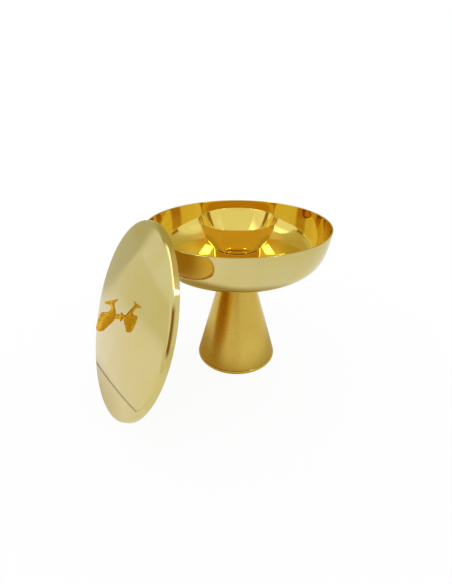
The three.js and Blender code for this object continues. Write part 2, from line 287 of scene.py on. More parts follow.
def cone_radius(height, inset=0.0):
    """Radius of the foot's cone at a height, or of a surface that lies inset under it."""
    cone_low, _ = millimetres("foot_cone")
    bowl_low, _ = millimetres("bowl")
    slope = (radius_of("foot_cone") - FOOT_TOP_RADIUS) / (bowl_low.z - cone_low.z)
    return FOOT_TOP_RADIUS + slope * (bowl_low.z - height) - inset * math.hypot(1, slope)


def cone_profile():
    low, high = millimetres("foot_cone")
    return rounded([
        (cone_radius(low.z), low.z, FOOT_EDGE),
        (cone_radius(high.z), high.z, FOOT_EDGE),
        (cone_radius(high.z, FOOT_WALL), high.z, FOOT_EDGE),
        (cone_radius(low.z, FOOT_WALL), low.z, FOOT_EDGE),
    ], closed=True)


def base_ring_profile():
    _, high = millimetres("foot_base_ring")
    _, plate_top = millimetres("base_plate")
    rebate = cone_radius(0) - RING_LEDGE - RING_WALL
    spigot = cone_radius(high.z, FOOT_WALL) - SEAT
    return rounded([
        (rebate, 0, 0.15),
        (cone_radius(0), 0, 0.5),
        (cone_radius(RING_HEIGHT), RING_HEIGHT, 0.35),
        (cone_radius(RING_HEIGHT, FOOT_WALL) - SEAT, RING_HEIGHT, 0.2),
        (spigot, high.z, 0.3),
        (spigot - RING_WALL, high.z, 0.3),
        (spigot - RING_WALL, plate_top.z + SEAT, 0.15),
        (rebate, plate_top.z + SEAT, 0.15),
    ], closed=True)


def top_disc_profile():
    low, high = millimetres("foot_top_disc")
    stud_radius = radius_of("foot_stud")
    return rounded([
        (cone_radius(low.z, FOOT_WALL) - SEAT, low.z, 0.3),
        (cone_radius(high.z, FOOT_WALL) - SEAT, high.z, 0.3),
        (stud_radius + SEAT, high.z, 0.3),
        (stud_radius + SEAT, low.z, 0.3),
    ], closed=True)


def collar_profile():
    _, high = millimetres("cup_collar")
    outer = radius_of("cup_collar")
    inner, lip = outer - COLLAR_WALL, outer - COLLAR_LIP
    step = high.z - COLLAR_LIP_HEIGHT
    return rounded([
        (inner, bowl_floor(inner), 0.1),
        (outer, bowl_floor(outer), 0.1),
        (outer, high.z, 0.4),
        (lip, high.z, 0.3),
        (lip, step, 0.2),
        (inner, step - (COLLAR_LIP - COLLAR_WALL), 0.2),
    ], closed=True)


def bowl_floor(radius):
    """Height of a piece that stands on the bowl's floor at a radius."""
    low_share, high_share = 0.0, 1.0
    while high_share - low_share > 1e-6:
        share = (low_share + high_share) / 2
        if bezier(bowl_handles(), share)[0].x < radius:
            low_share = share
        else:
            high_share = share
    return bezier(bowl_handles(), low_share)[0].y + BOWL_WALL + SEAT


def post_profile(bottom, top, seat):
    """The lid's post, from the end of its threaded stud through its flange to the fish."""
    stud = rounded([(0, bottom, 0), (POST_STUD, bottom, 0.2), (POST_STUD, seat, 0)], step=POST_PITCH / 10)
    head = rounded([
        (POST_STUD, seat, 0),
        (POST_FLANGE, seat, 0.1),
        (POST_FLANGE, seat + POST_FLANGE_EDGE, 0.15),
        (POST_RADIUS, seat + POST_FLANGE_HEIGHT, 0.3),
        (POST_RADIUS, top, 0.2),
        (0, top, 0),
    ])
    return stud[:-1] + head


def nut_profile(flats, bore, bottom, top):
    """A nut's section out to its hexagon's corners, cut back at both ends. The flats cut it later."""
    corner = flats / 2 / math.cos(math.tau / 12)
    land = flats * NUT_LAND
    drop = (corner - land) * math.tan(math.radians(NUT_CHAMFER))
    edge = flats * NUT_EDGE
    return rounded([
        (bore, bottom, edge * 3),
        (land, bottom, edge),
        (corner, bottom + drop, edge),
        (corner, top - drop, edge),
        (land, top, edge),
        (bore, top, edge * 3),
    ], closed=True, step=flats / 40)


# The kinds of node used most. A range takes a value, its two ends and the two that they turn into
MATH, VECTOR_MATH, MAP_RANGE = "ShaderNodeMath", "ShaderNodeVectorMath", "ShaderNodeMapRange"
MIX, NOISE, BUMP = "ShaderNodeMix", "ShaderNodeTexNoise", "ShaderNodeBump"

# The setting of a range that eases in and out, and white
SMOOTH, WHITE = {"interpolation_type": "SMOOTHSTEP"}, (1.0, 1.0, 1.0, 1.0)


def add_node(tree, kind, inputs=(), give=None, **settings):
    """Adds a node with its settings, and returns the output to give or else the first one in use. Each
    input, by name or in order, is another node's output or a value."""
    node = tree.nodes.new(kind)
    for name, value in settings.items():
        setattr(node, name, value)
    for key, given in inputs.items() if isinstance(inputs, dict) else enumerate(inputs):
        if isinstance(given, bpy.types.NodeSocket):
            tree.links.new(given, node.inputs[key])
        else:
            node.inputs[key].default_value = given
    if give:
        return node.outputs[give]
    return next((output for output in node.outputs if output.enabled), None)


def turning_tree():
    """Geometry Nodes that turn a profile round the z axis. The profile is a chain of edges whose x is the
    radius and z the height. Flats cut it to a hexagon, and a thread is cut between two heights."""
    tree = bpy.data.node_groups.new("turn_on_the_lathe", "GeometryNodeTree")
    add = partial(add_node, tree)
    identifiers = {}
    for kind, names in (
        ("Geometry", ("Profile",)),
        ("Int", ("Facets", "First inner row", "Last inner row")),
        ("Float", ("Across flats", "Thread pitch", "Thread depth", "Thread bottom", "Thread top")),
        ("Material", ("Outer finish", "Inner finish")),
    ):
        for name in names:
            socket = tree.interface.new_socket(name=name, in_out="INPUT", socket_type="NodeSocket" + kind)
            identifiers[name] = socket.identifier
    tree.interface.new_socket(name="Geometry", in_out="OUTPUT", socket_type="NodeSocketGeometry")
    known = dict(tree.nodes.new("NodeGroupInput").outputs.items())
    profile = known["Profile"]

    rows = add("GeometryNodeAttributeDomainSize", {"Geometry": profile}, "Point Count")
    index = add("GeometryNodeInputIndex")
    row = add(MATH, (index, rows), operation="MODULO")
    position = add("GeometryNodeInputPosition")
    on_profile = add(
        "GeometryNodeSampleIndex", {"Geometry": profile, "Value": position, "Index": row},
        data_type="FLOAT_VECTOR",
    )
    radius, _, height = add("ShaderNodeSeparateXYZ", (on_profile,)).node.outputs

    # Each step of the reckoning: its result, what it does, and the earlier results or numbers it takes
    known |= {"rows": rows, "index": index, "radius": radius, "height": height}
    for result, operation, *inputs in (
        ("columns", "ADD", "Facets", 1),
        ("columns passed", "DIVIDE", "index", "rows"),
        ("column", "FLOOR", "columns passed"),
        ("turns", "DIVIDE", "column", "Facets"),
        ("angle", "MULTIPLY", "turns", math.tau),
        ("sixth", "MODULO", "angle", math.tau / 6),
        ("across", "SUBTRACT", "sixth", math.tau / 12),
        ("lift", "COSINE", "across"),
        ("half flats", "MULTIPLY", "Across flats", 0.5),
        ("flat", "DIVIDE", "half flats", "lift"),
        ("cut flat", "MINIMUM", "radius", "flat"),
        ("above", "SUBTRACT", "height", "Thread bottom"),
        ("below", "SUBTRACT", "Thread top", "height"),
        ("inside", "MINIMUM", "above", "below"),
        ("pitches inside", "DIVIDE", "inside", "Thread pitch"),
        ("pitches or none", "MAXIMUM", "pitches inside", 0),
        ("run-out", "MINIMUM", "pitches or none", 1),
        ("depth", "MULTIPLY", "run-out", "Thread depth"),
        ("pitches up", "DIVIDE", "height", "Thread pitch"),
        ("climb", "SUBTRACT", "pitches up", "turns"),
        ("wave", "PINGPONG", "climb", 0.5),
        ("flank", "MULTIPLY", "wave", 2),
        ("groove", "MULTIPLY", "flank", "depth"),
        ("threaded", "SUBTRACT", "cut flat", "groove"),
    ):
        inputs = [known.get(name, name) for name in inputs]
        known[result] = add(MATH, inputs, operation=operation)

    grid = add("GeometryNodeMeshGrid", {"Vertices X": known["columns"], "Vertices Y": rows})
    noted = add(
        "GeometryNodeStoreNamedAttribute", {"Geometry": grid, "Name": "row", "Value": row},
        data_type="FLOAT",
    )
    section = add("ShaderNodeCombineXYZ", {"X": known["threaded"], "Z": height})
    spun = add(
        "ShaderNodeVectorRotate", {"Vector": section, "Angle": known["angle"]}, rotation_type="Z_AXIS",
    )
    formed = add("GeometryNodeSetPosition", {"Geometry": noted, "Position": spun})
    real = add("GeometryNodeRealizeInstances", {"Geometry": formed})
    its_row = add("GeometryNodeInputNamedAttribute", {"Name": "row"}, data_type="FLOAT")
    inner = [
        add(
            "FunctionNodeCompare", {"A": its_row, "B": known[end]},
            data_type="FLOAT", operation=operation,
        )
        for operation, end in (("GREATER_EQUAL", "First inner row"), ("LESS_EQUAL", "Last inner row"))
    ]
    inner = add("FunctionNodeBooleanMath", inner, operation="AND")
    finished = add("GeometryNodeSetMaterial", {"Geometry": real, "Material": known["Outer finish"]})
    inside = {"Geometry": finished, "Material": known["Inner finish"], "Selection": inner}
    finished = add("GeometryNodeSetMaterial", inside)
    add("NodeGroupOutput", {"Geometry": finished})
    return tree, identifiers


def new_object(name, data):
    """An object with its data, linked to the scene."""
    made = bpy.data.objects.new(name, data)
    bpy.context.scene.collection.objects.link(made)
    return made


def flat_sheet(name, corners, material):
    """A sheet of four corners, in metres."""
    mesh = bpy.data.meshes.new(name)
    mesh.from_pydata(corners, [], [(0, 1, 2, 3)])
    mesh.materials.append(material)
    return new_object(name, mesh)


def turned(name, profile, finish, inner=None, inner_rows=(0, -1), place=None, facets=FACETS, cuts=None):
    """A piece turned from a profile in millimetres, with its finishes, set down in its place. cuts are
    the lengths in millimetres for the tree's flats and thread."""
    mesh = bpy.data.meshes.new(name)
    points = [(radius * MM, 0.0, height * MM) for radius, height in profile]
    mesh.from_pydata(points, [(i, i + 1) for i in range(len(points) - 1)], [])
    piece = new_object(name, mesh)
    turning = piece.modifiers.new("turning", "NODES")
    turning.node_group = TURNING
    lengths = {"Across flats": 1000.0, "Thread pitch": 1.0} | (cuts or {})
    settings = {label: length * MM for label, length in lengths.items()} | {
        "Facets": facets,
        "First inner row": inner_rows[0],
        "Last inner row": inner_rows[1],
        "Outer finish": finish,
        "Inner finish": inner or finish,
    }
    for label, value in settings.items():
        turning[TURNING_INPUTS[label]] = value
    graph = bpy.context.evaluated_depsgraph_get()
    solid = bpy.data.meshes.new_from_object(piece.evaluated_get(graph))
    piece.modifiers.clear()
    piece.data = solid
    solid.materials.pop(index=0)
    close_and_face_out(solid)
    if place is not None:
        solid.transform(place)
    return piece


def close_and_face_out(mesh):
    """Joins the seam and the poles, points every face outwards and smooths the shading."""
    form = bmesh.new()
    form.from_mesh(mesh)
    bmesh.ops.remove_doubles(form, verts=form.verts, dist=ONE_POINT * MM)
    bmesh.ops.recalc_face_normals(form, faces=form.faces)
    if form.calc_volume(signed=True) < 0:
        bmesh.ops.reverse_faces(form, faces=form.faces)
    for face in form.faces:
        face.smooth = True
    form.to_mesh(mesh)
    form.free()


# The fish: points are (along the body towards the head, up from the belly), in shares of its length. The
# body is given by its middle and by half of its height at places along it
BODY_MIDDLE = ((-0.42, 0.185), (-0.2, 0.105), (0.0, 0.14), (0.2, 0.19), (0.35, 0.225), (0.47, 0.25))
BODY_HALF = (
    (-0.42, 0.03), (-0.2, 0.045), (-0.05, 0.12), (0.1, 0.17), (0.3, 0.14), (0.4, 0.1), (0.47, 0.05),
)
GILL_PLACE, GILL_RADIUS, EYE_PLACE = (0.43, 0.23), 0.12, (0.4, 0.285)

# How many scales go on the fish's length, along it and up it, and how closely the rays follow each other
SCALES_ALONG, SCALES_UP, TAIL_RAYS, FIN_RAYS = 30, 26, 190, 130

# Grooves in the casting in millimetres
RAY_DEPTH, GILL_DEPTH, SCALE_DEPTH, PUPIL_DEPTH, MOUTH_DEPTH = 0.14, 0.18, 0.11, 0.12, 0.16


def fish_outline():
    """The fish's outline: the tail fin, the back with its fin, the head and the belly. Each bend gives
    one handle or two, and its end. It starts where the one before it ends."""
    bends = [
        ((-0.46, 0.137), (-0.437, 0.2)),
        ((-0.419, 0.273), (-0.371, 0.337)),
        ((-0.373, 0.27), (-0.34, 0.21)),
        ((-0.273, 0.156), (-0.206, 0.143)),
        ((-0.133, 0.149), (-0.092, 0.21)),
        ((-0.073, 0.263), (-0.067, 0.324)),
        ((-0.06, 0.346), (-0.038, 0.352)),
        ((0.095, 0.371), (0.27, 0.368), (0.387, 0.349)),
        ((0.457, 0.34), (0.468, 0.283)),
        ((0.476, 0.21), (0.435, 0.165)),
        ((0.337, 0.127), (0.229, 0.051), (0.105, 0)),
        ((0.021, 0), (-0.063, 0)),
        ((-0.146, 0.029), (-0.254, 0.092), (-0.394, 0.143)),
        ((-0.451, 0.124), (-0.502, 0.083)),
    ]
    outline = []
    for i, bend in enumerate(bends):
        start, (*handles, end) = Vector(bends[i - 1][-1]), [Vector(p) for p in bend]
        if len(handles) == 1:
            handles = [start.lerp(handles[0], 2 / 3), end.lerp(handles[0], 2 / 3)]
        steps = math.ceil((end - start).length * FISH_LENGTH / FISH_GRAIN)
        outline += [bezier((start, *handles, end), s / steps)[0] * FISH_LENGTH for s in range(steps)]
    return outline


def distance_to(outline, points):
    """Distance of each point to the nearest edge of a closed outline."""
    start = np.array(outline)
    edge = np.roll(start, -1, axis=0) - start
    from_start = np.array(points)[:, None, :] - start[None]
    share = np.clip((from_start * edge).sum(axis=2) / (edge**2).sum(axis=1), 0, 1)
    return np.sqrt(((from_start - share[..., None] * edge) ** 2).sum(axis=2)).min(axis=1)


def grown(outline, distance):
    """A closed outline moved outwards, with what would cross itself at an inner corner left out."""
    outline = np.array(outline)
    before = outline - np.roll(outline, 1, axis=0)
    after = np.roll(outline, -1, axis=0) - outline
    points = []
    for here, a, b in zip(outline, before, after):
        from_angle = math.atan2(a[1], a[0]) + math.pi / 2
        turn = (math.atan2(b[1], b[0]) + math.pi / 2 - from_angle + math.pi) % math.tau - math.pi
        steps = max(1, math.ceil(abs(turn) / math.radians(20))) if turn < 0 else 1
        for s in range(steps + 1):
            angle = from_angle + turn * (s / steps)
            points.append(here + distance * np.array([math.cos(angle), math.sin(angle)]))
    kept = distance_to(outline, points) > distance * 0.985
    points = [Vector(p) for p, keep in zip(points, kept) if keep]
    return [p for i, p in enumerate(points) if (p - points[i - 1]).length > FISH_CLOSEST]


def smooth_step(value, low, high):
    share = np.clip((value - low) / (high - low), 0, 1)
    return share * share * (3 - 2 * share)


def fish_relief(points, inset):
    """Half of the fish's thickness at points, given how far they lie inside its edge, and how deep a
    groove lies there, all in millimetres."""
    along, up = points[:, 0] / FISH_LENGTH, points[:, 1] / FISH_LENGTH
    middle = np.interp(along, *zip(*BODY_MIDDLE))
    across = np.clip(1 - ((up - middle) / np.interp(along, *zip(*BODY_HALF))) ** 2, 0, 1)
    on_body = smooth_step(across, 0.05, 0.3) * smooth_step(along, -0.36, -0.24)
    swell = np.sqrt(across) * smooth_step(along, -0.44, -0.26) * smooth_step(inset, 0.0, 1.6)
    tail = 1 - smooth_step(along, -0.405, -0.36)
    back_fin = (1 - on_body) * (1 - tail)
    back_fin *= smooth_step(up - middle, 0.03, 0.09) * smooth_step(along, -0.12, -0.08)
    gill = np.hypot(along - GILL_PLACE[0], (up - GILL_PLACE[1]) * 0.9) - GILL_RADIUS
    behind_gill = on_body * smooth_step(gill, 0.015, 0.035) * smooth_step(-along, -0.36, -0.32)
    row = np.floor(along * SCALES_ALONG)
    scale_along = along * SCALES_ALONG - row - 0.5
    scale_up = (up * SCALES_UP + 0.5 * (row % 2)) % 1 - 0.5
    eye = np.hypot(along - EYE_PLACE[0], up - EYE_PLACE[1]) * FISH_LENGTH
    mouth = np.abs(up - 0.2 - 0.35 * (along - 0.45)) * FISH_LENGTH
    groove = RAY_DEPTH * tail * (0.5 + 0.5 * np.cos((up + 0.5 * along) * TAIL_RAYS))
    groove += RAY_DEPTH * back_fin * (0.5 + 0.5 * np.cos((along - 0.4 * up) * FIN_RAYS))
    groove += GILL_DEPTH * on_body * np.exp(-((gill / 0.007) ** 2)) * smooth_step(-along, -0.4, -0.36)
    groove += SCALE_DEPTH * behind_gill * smooth_step(np.hypot(scale_along + 0.35, scale_up), 0.5, 0.7)
    groove += PUPIL_DEPTH * np.exp(-((eye / 0.3) ** 2))
    groove += MOUTH_DEPTH * np.exp(-((mouth / 0.15) ** 2)) * smooth_step(along, 0.41, 0.43)
    groove *= smooth_step(inset, FISH_EDGE * 0.5, FISH_EDGE * 2)
    half = FISH_FIN_HALF + 0.4 * swell + 0.12 * np.exp(-(((eye - 0.68) / 0.16) ** 2)) - groove
    lift = FISH_FIN_HALF - FISH_EDGE * 0.8
    to_edge = np.clip(FISH_EDGE - inset, 0, None)
    edge = lift + np.sqrt(np.clip(FISH_EDGE**2 - to_edge**2, 0, None)) * 0.8
    return np.where(inset < FISH_EDGE, np.minimum(half, edge), half), groove


def fish_mesh(name, base_height, place):
    """The cast fish, standing on its belly on the post, as one closed mesh."""
    outline = fish_outline()
    rim = grown(outline, FISH_EDGE)
    inner_rings = [p for out in FISH_RINGS for p in grown(outline, out)]
    low, high = np.array(rim).min(axis=0), np.array(rim).max(axis=0)
    rise = FISH_GRAIN * math.sqrt(3) / 2
    grid = [
        (low[0] + FISH_GRAIN * (column + 0.5 * (line % 2)), low[1] + rise * line)
        for line in range(int((high[1] - low[1]) / rise) + 1)
        for column in range(int((high[0] - low[0]) / FISH_GRAIN) + 1)
    ]
    flat = [Vector(p) for p, d in zip(grid, distance_to(outline, grid)) if d > FISH_GRAIN * 0.5]
    border = [(i, (i + 1) % len(rim)) for i in range(len(rim))]
    inside = [list(range(len(rim)))]
    points, _, faces, *_ = delaunay_2d_cdt(rim + inner_rings + flat, border, inside, 1, 1e-4)
    used = sorted({i for face in faces for i in face})
    number = {old: new for new, old in enumerate(used)}
    spread = np.array([points[i] for i in used])
    half, groove = fish_relief(spread, distance_to(rim, spread))
    count = len(used)
    turn = Matrix.Rotation(math.radians(FISH_TURN), 4, "Z")
    corners = [
        place @ (turn @ Vector((along, side * thick, up + base_height)) * MM)
        for side in (-1, 1)
        for (along, up), thick in zip(spread, half)
    ]
    front = [[number[i] for i in face] for face in faces]
    back = [[number[i] + count for i in face[::-1]] for face in faces]
    edges = dict.fromkeys(edge for face in front for edge in zip(face, face[1:] + face[:1]))
    band = [[b, a, a + count, b + count] for a, b in edges if (b, a) not in edges]
    mesh = bpy.data.meshes.new(name)
    mesh.from_pydata(corners, [], front + back + band)
    depth = mesh.attributes.new("groove", "FLOAT", "POINT")
    depth.data.foreach_set("value", np.tile(groove, 2).astype(np.float32))
    close_and_face_out(mesh)
    return mesh


# How finishes vary, in millimetres: the soft patches of a thin coat, of the polish's haze and of the
# casting. A mark of the lathe is as long as this many gaps between marks, for each radian round the piece
COAT_PATCH, HAZE_PATCH, CAST_PATCH, MARK_LENGTH = 26, 6, 4.5, 5


def linear(colour):
    """An sRGB hex value as linear red, green, blue and alpha."""
    channels = [int(colour[i : i + 2], 16) / 255 for i in (1, 3, 5)]
    return [c / 12.92 if c <= 0.04045 else ((c + 0.055) / 1.055) ** 2.4 for c in channels] + [1.0]


def new_material(name):
    """A material and the tree of its nodes."""
    material = bpy.data.materials.new(name)
    material.use_nodes = True
    return material, material.node_tree


def connect_metal(tree, coat, roughness, relief):
    """Makes the tree's shader a metal with a colour, a roughness and a relief, and returns its inputs."""
    shader = tree.nodes["Principled BSDF"].inputs
    shader["Metallic"].default_value = 1.0
    for name, output in (("Base Color", coat), ("Roughness", roughness), ("Normal", relief)):
        tree.links.new(output, shader[name])
    return shader


def turned_metal(
    name, colour, thin_colour, roughness, lines, ripple, place=None, slope=1.0, drawn=0.0, crease_reflection=None,
):
    """A metal finished on the lathe. The colour drifts to that of a thinner coat in soft patches, and
    roughness is its least and its most. lines are the spacing, depth and darkness of the marks that run
    round the piece, and ripple the length and depth of the waves under the polish, in millimetres. slope
    is how the section climbs, place the frame of a piece that leans, and drawn how far the marks draw a
    reflection out across them. The last argument paints a reflection into the colour: a streak along a
    crease, given by radius and half width in millimetres, middle and half length in degrees, and colour."""
    material, tree = new_material(name)
    add = partial(add_node, tree)
    point = add("ShaderNodeTexCoord", give="Object")
    if place is not None:
        back = place.inverted()
        move = {"Vector": point, "Location": back.translation, "Rotation": back.to_euler()}
        point = add("ShaderNodeMapping", move)
    flat = add(VECTOR_MATH, (point, (1.0, 1.0, 0.0)), operation="MULTIPLY")
    radius = add(VECTOR_MATH, (flat,), operation="LENGTH")
    outward = add(VECTOR_MATH, (flat,), operation="NORMALIZE")
    height = add("ShaderNodeSeparateXYZ", (point,), "Z")
    section = add(MATH, (height, slope, radius), operation="MULTIPLY_ADD")
    section = add("ShaderNodeCombineXYZ", {"Z": section})

    gap, depth, darkness = lines
    reach = gap * MM * MARK_LENGTH
    stretch = (reach, reach, 0.0)
    round_it = add(VECTOR_MATH, (outward, stretch, section), operation="MULTIPLY_ADD")
    marks = add(NOISE, {"Vector": round_it, "Scale": 1 / (gap * MM), "Detail": 2.0, "Roughness": 0.6})
    drift = add(NOISE, {"Vector": point, "Scale": 1 / (COAT_PATCH * MM), "Detail": 2.0})
    drift = add(MAP_RANGE, (drift, 0.35, 0.65))
    coat = add(MIX, {"Factor": drift, "A": linear(thin_colour), "B": linear(colour)}, data_type="RGBA")
    shade = add(MAP_RANGE, (marks, 0.3, 0.6, 1 - darkness))
    coat = add(VECTOR_MATH, (coat, shade), operation="MULTIPLY")
    # Painted reflection: an amber streak laid into the colour along the crease, standing in for what the
    # crease mirrors
    if crease_reflection is not None:
        ring, half_width, middle, half_length, reflection_colour = crease_reflection
        middle, half_length = math.radians(middle), math.radians(half_length)
        aside = add(MATH, (radius, ring * MM), operation="SUBTRACT")
        aside = add(MATH, (aside,), operation="ABSOLUTE")
        to_middle = (math.cos(middle), math.sin(middle), 0.0)
        along = add(VECTOR_MATH, (outward, to_middle), operation="DOT_PRODUCT")
        along = add(MATH, (along,), operation="ARCCOSINE")
        cover = 1.0
        for away, fades, gone in (
            (aside, half_width * MM * 0.5, half_width * MM),
            (along, half_length * 0.6, half_length),
        ):
            share = add(MAP_RANGE, (away, gone, fades), **SMOOTH)
            cover = add(MATH, (cover, share), operation="MULTIPLY")
        coat = add(MIX, {"Factor": cover, "A": coat, "B": linear(reflection_colour)}, data_type="RGBA")

    haze = add(NOISE, {"Vector": point, "Scale": 1 / (HAZE_PATCH * MM), "Detail": 4.0})
    haze = add(MAP_RANGE, (haze, 0.35, 0.7, *roughness))
    length, rise = ripple
    waves = add(NOISE, {"Vector": point, "Scale": 1 / (length * MM), "Detail": 0.0})
    marked = add(BUMP, {"Height": marks, "Distance": depth * MM})
    waved = add(BUMP, {"Height": waves, "Distance": rise * MM, "Normal": marked})

    shader = connect_metal(tree, coat, haze, waved)
    if drawn > 0:
        shader["Anisotropic"].default_value = drawn
        facing = add("ShaderNodeNewGeometry", give="Normal")
        marks_run = add(VECTOR_MATH, ((0.0, 0.0, 1.0), outward), operation="CROSS_PRODUCT")
        across = add(VECTOR_MATH, (facing, marks_run), operation="CROSS_PRODUCT")
        tree.links.new(across, shader["Tangent"])
    return material


def cast_metal(name, deep_colour, colour, worn_colour, roughness, grain):
    """A cast and gilded metal: mottled, deeper in the grooves that the mesh has noted, and with a casting
    grain of the given size and depth in millimetres."""
    material, tree = new_material(name)
    add = partial(add_node, tree)
    point = add("ShaderNodeTexCoord", give="Object")
    mottle = add(
        NOISE, {"Vector": point, "Scale": 1 / (CAST_PATCH * MM), "Detail": 2.0, "Roughness": 0.5},
    )
    coat = linear(colour)
    for end, end_colour in ((0.34, deep_colour), (0.74, worn_colour)):
        share = add(MAP_RANGE, (mottle, 0.54, end))
        coat = add(MIX, {"Factor": share, "A": coat, "B": linear(end_colour)}, data_type="RGBA")
    groove = add("ShaderNodeAttribute", give="Fac", attribute_name="groove")
    groove = add(MAP_RANGE, (groove, 0.03, 0.2, 1.0, 0.62))
    coat = add(VECTOR_MATH, (coat, groove), operation="MULTIPLY")
    dull = add(MAP_RANGE, (mottle, 0.65, 0.35, *roughness))
    size, depth = grain
    skin = add(NOISE, {"Vector": point, "Scale": 1 / (size * MM), "Detail": 2.0})
    bumped = add(BUMP, {"Height": skin, "Distance": depth * MM})
    connect_metal(tree, coat, dull, bumped)
    return material


def hand_over(piece, body, node):
    """Gives a finished piece to the frame, where it stands for its CAD node."""
    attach(piece, body)
    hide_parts(node)


def make_stand():
    profile, inner_row = bowl_profile()
    bowl = turned("spun_bowl", profile, PALE, GILT, (inner_row, len(profile)))
    hand_over(bowl, "stand", "bowl")
    for name, section, finish, node, slot in (
        ("spun_foot_cone", cone_profile(), SATIN, "foot_cone", "satin_brass"),
        ("turned_base_ring", base_ring_profile(), GILT, "foot_base_ring", "gilt_brass"),
        ("soldered_collar", collar_profile(), GILT, "cup_collar", "gilt_brass"),
        ("turned_base_plate", disc_of("base_plate", 0.3), TURNED, "base_plate", "satin_brass"),
    ):
        hand_over(turned(name, section, finish), "stand", node)


def make_foot_fastening():
    bore = radius_of("foot_stud") + SEAT
    nut_low, nut_high = millimetres("foot_nut")
    low, high = millimetres("foot_stud")
    nut_section = nut_profile(NUT_FLATS, bore, nut_low.z, nut_high.z)
    stud_section = disc_of("foot_stud", 0.5, STUD_PITCH / 10)
    thread = {
        "Thread pitch": STUD_PITCH,
        "Thread depth": STUD_THREAD,
        "Thread bottom": low.z + 0.5,
        "Thread top": high.z - 0.5,
    }
    for name, section, finish, cuts, node, slot in (
        ("brazed_boss", ring_of("bowl_boss", bore, 0.3), TURNED, None, "bowl_boss", "satin_brass"),
        ("tapered_disc", top_disc_profile(), TURNED, None, "foot_top_disc", "satin_brass"),
        ("plain_washer", ring_of("foot_washer", bore, 0.2), STEEL, None, "foot_washer", "steel"),
        ("hexagon_nut", nut_section, STEEL, {"Across flats": NUT_FLATS}, "foot_nut", "steel"),
        ("threaded_stud", stud_section, STEEL, thread, "foot_stud", "steel"),
    ):
        facets = SMALL_FACETS // 2 if cuts is thread else SMALL_FACETS
        hand_over(turned(name, section, finish, facets=facets, cuts=cuts), "stand", node)


def make_cup():
    profile, inner_row = cup_profile()
    cup = turned("spun_cup", profile, GILT, GILT, (inner_row, len(profile)))
    hand_over(cup, "cup_body", "cup")
    spigot = ring_of("cup_spigot", radius_of("cup_spigot") - SPIGOT_WALL, 0.2)
    hand_over(turned("soldered_spigot", spigot, GILT), "cup_body", "cup_spigot")


def make_lid():
    place = LID_PLACE
    _, crown, mouth_radius = reach_along("lid_shell", place)
    profile, outer_row = lid_profile(crown, mouth_radius)
    shell = turned("spun_lid", profile, PALE_LID, GILT_LID, (0, outer_row), place)
    hand_over(shell, "lid", "lid_shell")
    bottom, top, _ = reach_along("lid_post", place)
    seat = crown + SEAT
    thread = {
        "Thread pitch": POST_PITCH,
        "Thread depth": POST_THREAD,
        "Thread bottom": bottom + 0.2,
        "Thread top": seat - POST_PLAIN,
    }
    low, high, radius = reach_along("lid_washer", place)
    washer = ring_profile(radius, LID_HOLE, low, high, 0.15)
    low, high, _ = reach_along("lid_nut", place)
    nut = nut_profile(LID_NUT_FLATS, LID_HOLE, low, high)
    for name, section, finish, cuts, node, slot in (
        ("turned_post", post_profile(bottom, top, seat), GILT_LID, thread, "lid_post", "gilt_brass"),
        ("lid_plain_washer", washer, TURNED_LID, None, "lid_washer", "satin_brass"),
        ("lid_hexagon_nut", nut, STEEL_LID, {"Across flats": LID_NUT_FLATS}, "lid_nut", "steel"),
    ):
        piece = turned(name, section, finish, place=place, facets=SMALL_FACETS, cuts=cuts)
        hand_over(piece, "lid", node)
    belly, _, _ = reach_along("fish_handle", place)
    fish = new_object("cast_fish", fish_mesh("cast_fish", belly + FISH_EDGE, place))
    fish.data.materials.append(CAST)
    hand_over(fish, "lid", "fish_handle")


def make_camera():
    pitch, yaw, roll = (math.radians(a) for a in (CAMERA_PITCH, CAMERA_YAW, CAMERA_ROLL))
    forward = Vector((math.sin(yaw) * math.cos(pitch), math.cos(yaw) * math.cos(pitch), -math.sin(pitch)))
    level = Vector((math.cos(yaw), -math.sin(yaw), 0))
    above = level.cross(forward)
    right = level * math.cos(roll) + above * math.sin(roll)
    up = above * math.cos(roll) - level * math.sin(roll)
    camera = new_object("camera", bpy.data.cameras.new("camera"))
    camera.data.lens = CAMERA_LENS
    camera.data.clip_start = 0.01
    camera.data.clip_end = 30
    camera.matrix_world = Matrix((right, up, -forward)).transposed().to_4x4()
    camera.location = Vector(CAMERA_PLACE) * MM
    bpy.context.scene.camera = camera


def towards(azimuth, elevation):
    """A direction: azimuth in degrees from the back towards the right, elevation up from the table."""
    a, e = math.radians(azimuth), math.radians(elevation)
    return Vector((math.sin(a) * math.cos(e), math.cos(a) * math.cos(e), math.sin(e)))


# The tent round the table as the polished metal mirrors it: bright in front, a darker warm wall behind.
# Each stop is a share of the way from front to back, and a brightness in linear red, green and blue
TENT_BACK = towards(-8.5, 0)
TENT_STOPS = (
    (0.0, (0.88, 0.88, 0.76)),
    (0.44, (0.9, 0.9, 0.84)),
    (0.5, (0.76, 0.75, 0.66)),
    (0.53, (0.67, 0.64, 0.5)),
    (0.59, (0.6, 0.54, 0.35)),
    (0.67, (0.56, 0.49, 0.25)),
    (0.8, (0.54, 0.45, 0.18)),
    (1.0, (0.54, 0.44, 0.16)),
)

# Panels in the tent: azimuth and elevation of the middle, half the width and height, the width of the
# soft edge, all in degrees, and the brightness: the warm ceiling, the two softboxes, the white sides
# below them, a grey card behind on the left, a low white one in front of it, and the dark gaps where the
# tent ends and where the camera looks in
TENT_PANELS = (
    (0, 90, 180, 28, 12, (0.77, 0.59, 0.34)),
    (-120, 54, 6, 4, 4, (8.0, 8.0, 8.0)),
    (120, 53, 7, 4, 4, (8.0, 8.0, 8.0)),
    (-114, 30, 7, 9, 5, (0.98, 0.98, 0.98)),
    (111, 30, 7, 9, 5, (0.98, 0.98, 0.98)),
    (-46, 12, 14, 14, 4, (0.61, 0.58, 0.39)),
    (-79.5, 5, 21.5, 8, 4, (0.91, 0.89, 0.81)),
    (-78, 11, 5, 4, 4, (0.34, 0.19, 0.05)),
    (76, 12, 5, 4, 4, (0.34, 0.19, 0.05)),
    (182, 11, 12, 3, 9, (0.52, 0.32, 0.14)),
)

